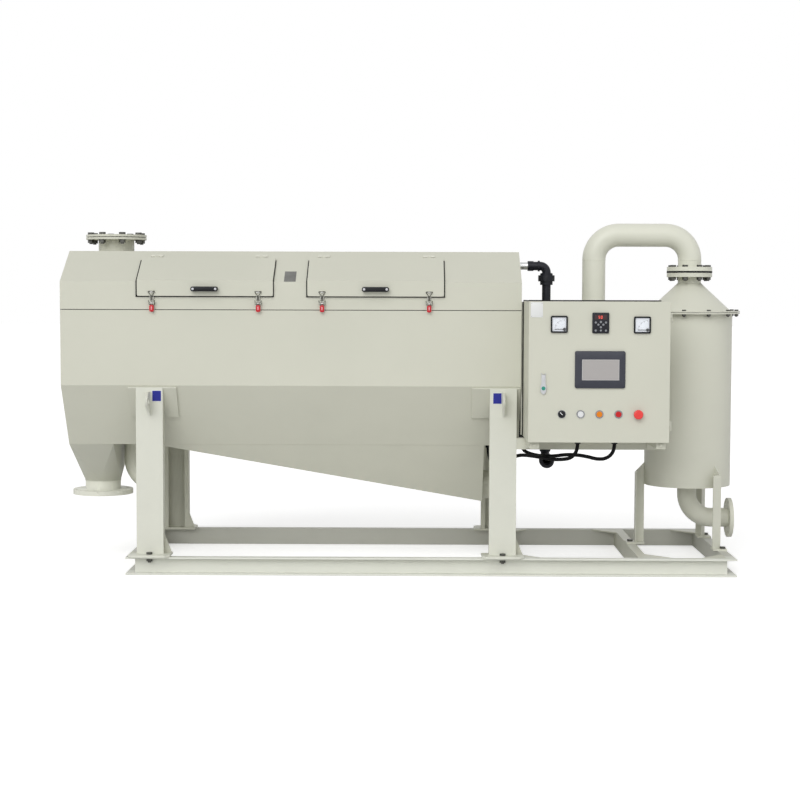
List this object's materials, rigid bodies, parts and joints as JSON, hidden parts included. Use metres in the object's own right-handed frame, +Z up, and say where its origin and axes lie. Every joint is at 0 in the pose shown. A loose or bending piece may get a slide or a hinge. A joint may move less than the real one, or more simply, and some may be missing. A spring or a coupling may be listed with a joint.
{
  "type": "rotary screen thickener",
  "caption": "Rotary screen sludge thickener: driven drum in a steel casing over a filtrate hopper, with mixing tank, transfer pipe and control cabinet on a channel base.",
  "frame": {"origin": "on the floor, at the centre of the rectangle of the four anchor holes in the base frame", "axes": "+X runs along the machine from the sludge chute towards the mixing tank, -Y is the operator's side with the hatches and the cabinet door, +Z is up"},
  "size_m": [3.13, 1.343, 1.583],
  "materials": {
    "machine_paint": "satin",
    "zinc_steel": "zinc plated",
    "stainless_steel": "brushed",
    "bearing_iron": "painted",
    "motor_paint": "satin",
    "black_plastic": "matte",
    "gasket_rubber": "matte",
    "cable_rubber": "matte",
    "device_plastic": "matte",
    "roller_steel": "turned",
    "meter_plastic": "gloss",
    "needle_paint": "matte",
    "dark_plastic": "matte",
    "screen_plastic": "matte",
    "bezel_chrome": "polished",
    "white_plastic": "gloss",
    "orange_plastic": "gloss",
    "red_plastic": "gloss",
    "grip_red": "matte"
  },
  "bodies": {
    "machine": {"base_rails": "machine_paint", "base_cross_members": "machine_paint", "front_legs": "machine_paint", "rear_legs": "machine_paint", "fasteners": "zinc_steel", "lower_housing": "machine_paint", "filtrate_hopper": "machine_paint", "sludge_chute": "machine_paint", "partition_wall": "stainless_steel", "upper_cover": "machine_paint", "vent_blind_flange": "machine_paint", "gaskets": "gasket_rubber", "filtrate_outlet_pipe": "machine_paint", "drain_elbow": "machine_paint", "hinge_leaves_and_latch_bases": "zinc_steel", "roller_bearings": "bearing_iron", "gearbox": "motor_paint", "drive_motor": "motor_paint", "spray_bar": "stainless_steel", "wash_water_pipe": "black_plastic", "drum_inlet_pipe": "machine_paint", "transfer_pipe": "machine_paint", "mixing_tank": "machine_paint", "tank_cone": "machine_paint", "cabinet_box": "machine_paint", "cabinet_internals": "device_plastic", "cabinet_support_beam": "machine_paint", "cable_glands": "black_plastic", "motor_cable": "cable_rubber", "control_cable": "cable_rubber"},
    "left_hatch": {"hatch_left_lid": "machine_paint", "hatch_left_handle": "black_plastic"},
    "right_hatch": {"hatch_right_lid": "machine_paint", "hatch_right_handle": "black_plastic"},
    "drum": {"drum_screen": "stainless_steel", "drum_cage": "stainless_steel", "drum_flight": "stainless_steel"},
    "drive_roller": {"drive_roller_shaft": "roller_steel"},
    "idler_roller": {"idler_roller_shaft": "roller_steel"},
    "door": {"cabinet_door": "machine_paint", "panel_meters": "meter_plastic", "drive_keypad": "dark_plastic", "operator_screen": "screen_plastic", "button_bezels": "bezel_chrome"},
    "lock_handle": {"door_lock": "black_plastic"},
    "voltmeter_pointer": {"voltmeter_needle": "needle_paint"},
    "ammeter_pointer": {"ammeter_needle": "needle_paint"},
    "selector": {"selector_switch": "black_plastic"},
    "white_button": {"button_white": "white_plastic"},
    "orange_button": {"button_orange": "orange_plastic"},
    "red_button": {"button_red": "red_plastic"},
    "stop_button": {"emergency_stop": "red_plastic"},
    "lever_1": {"latch_lever_1": "grip_red"},
    "bail_1": {"latch_bail_1": "zinc_steel"},
    "lever_2": {"latch_lever_2": "grip_red"},
    "bail_2": {"latch_bail_2": "zinc_steel"},
    "lever_3": {"latch_lever_3": "grip_red"},
    "bail_3": {"latch_bail_3": "zinc_steel"},
    "lever_4": {"latch_lever_4": "grip_red"},
    "bail_4": {"latch_bail_4": "zinc_steel"}
  },
  "joints": [
    {"name": "drum_spin", "type": "hinge", "parent": "machine", "child": "drum", "pos_m": [0, 0, 1.01], "axis": [1, 0, 0], "continuous": true},
    {"name": "drive_roller_spin", "type": "hinge", "parent": "machine", "child": "drive_roller", "pos_m": [0, 0.23821, 0.66981], "axis": [1, 0, 0], "continuous": true},
    {"name": "idler_roller_spin", "type": "hinge", "parent": "machine", "child": "idler_roller", "pos_m": [0, -0.23821, 0.66981], "axis": [1, 0, 0], "continuous": true},
    {"name": "left_hatch_swing", "type": "hinge", "parent": "machine", "child": "left_hatch", "pos_m": [-1.005, -0.28875, 1.41864], "axis": [-1, 0, 0], "range_deg": [0, 130]},
    {"name": "right_hatch_swing", "type": "hinge", "parent": "machine", "child": "right_hatch", "pos_m": [-0.249, -0.28875, 1.41864], "axis": [-1, 0, 0], "range_deg": [0, 130]},
    {"name": "lever_1_swing", "type": "hinge", "parent": "machine", "child": "lever_1", "pos_m": [-1.241, -0.464, 1.207], "axis": [-1, 0, 0], "range_deg": [0, 90]},
    {"name": "bail_1_swing", "type": "hinge", "parent": "machine", "child": "bail_1", "pos_m": [-1.241, -0.464, 1.207], "axis": [1, 0, 0], "range_deg": [0, 40]},
    {"name": "lever_2_swing", "type": "hinge", "parent": "machine", "child": "lever_2", "pos_m": [-0.769, -0.464, 1.207], "axis": [-1, 0, 0], "range_deg": [0, 90]},
    {"name": "bail_2_swing", "type": "hinge", "parent": "machine", "child": "bail_2", "pos_m": [-0.769, -0.464, 1.207], "axis": [1, 0, 0], "range_deg": [0, 40]},
    {"name": "lever_3_swing", "type": "hinge", "parent": "machine", "child": "lever_3", "pos_m": [-0.486, -0.464, 1.207], "axis": [-1, 0, 0], "range_deg": [0, 90]},
    {"name": "bail_3_swing", "type": "hinge", "parent": "machine", "child": "bail_3", "pos_m": [-0.486, -0.464, 1.207], "axis": [1, 0, 0], "range_deg": [0, 40]},
    {"name": "lever_4_swing", "type": "hinge", "parent": "machine", "child": "lever_4", "pos_m": [-0.012, -0.464, 1.207], "axis": [-1, 0, 0], "range_deg": [0, 90]},
    {"name": "bail_4_swing", "type": "hinge", "parent": "machine", "child": "bail_4", "pos_m": [-0.012, -0.464, 1.207], "axis": [1, 0, 0], "range_deg": [0, 40]},
    {"name": "door_swing", "type": "hinge", "parent": "machine", "child": "door", "pos_m": [1.014, -0.755, 0.922], "axis": [0, 0, 1], "range_deg": [0, 120]},
    {"name": "lock_handle_swing", "type": "hinge", "parent": "door", "child": "lock_handle", "pos_m": [0.471, -0.7805, 0.915], "axis": [-1, 0, 0], "range_deg": [0, 30]},
    {"name": "voltmeter_pointer_swing", "type": "hinge", "parent": "door", "child": "voltmeter_pointer", "pos_m": [0.558, -0.778, 1.104], "axis": [0, 1, 0], "range_deg": [0, 90], "stiffness_Nm_per_rad": 0.002},
    {"name": "ammeter_pointer_swing", "type": "hinge", "parent": "door", "child": "ammeter_pointer", "pos_m": [0.91, -0.778, 1.102], "axis": [0, 1, 0], "range_deg": [0, 90], "stiffness_Nm_per_rad": 0.002},
    {"name": "selector_turn", "type": "hinge", "parent": "door", "child": "selector", "pos_m": [0.55, -0.775, 0.743], "axis": [0, 1, 0], "range_deg": [0, 90]},
    {"name": "white_button_press", "type": "slide", "parent": "door", "child": "white_button", "axis": [0, 1, 0], "range_m": [0, 0.004], "stiffness_N_per_m": 400},
    {"name": "orange_button_press", "type": "slide", "parent": "door", "child": "orange_button", "axis": [0, 1, 0], "range_m": [0, 0.004], "stiffness_N_per_m": 400},
    {"name": "red_button_press", "type": "slide", "parent": "door", "child": "red_button", "axis": [0, 1, 0], "range_m": [0, 0.004], "stiffness_N_per_m": 400},
    {"name": "stop_button_press", "type": "slide", "parent": "door", "child": "stop_button", "axis": [0, 1, 0], "range_m": [0, 0.005], "stiffness_N_per_m": 600}
  ],
  "couplings": [
    {"joint": "drive_roller_spin", "follows": "drum_spin", "ratio": -7.3},
    {"joint": "idler_roller_spin", "follows": "drum_spin", "ratio": -7.3}
  ]
}
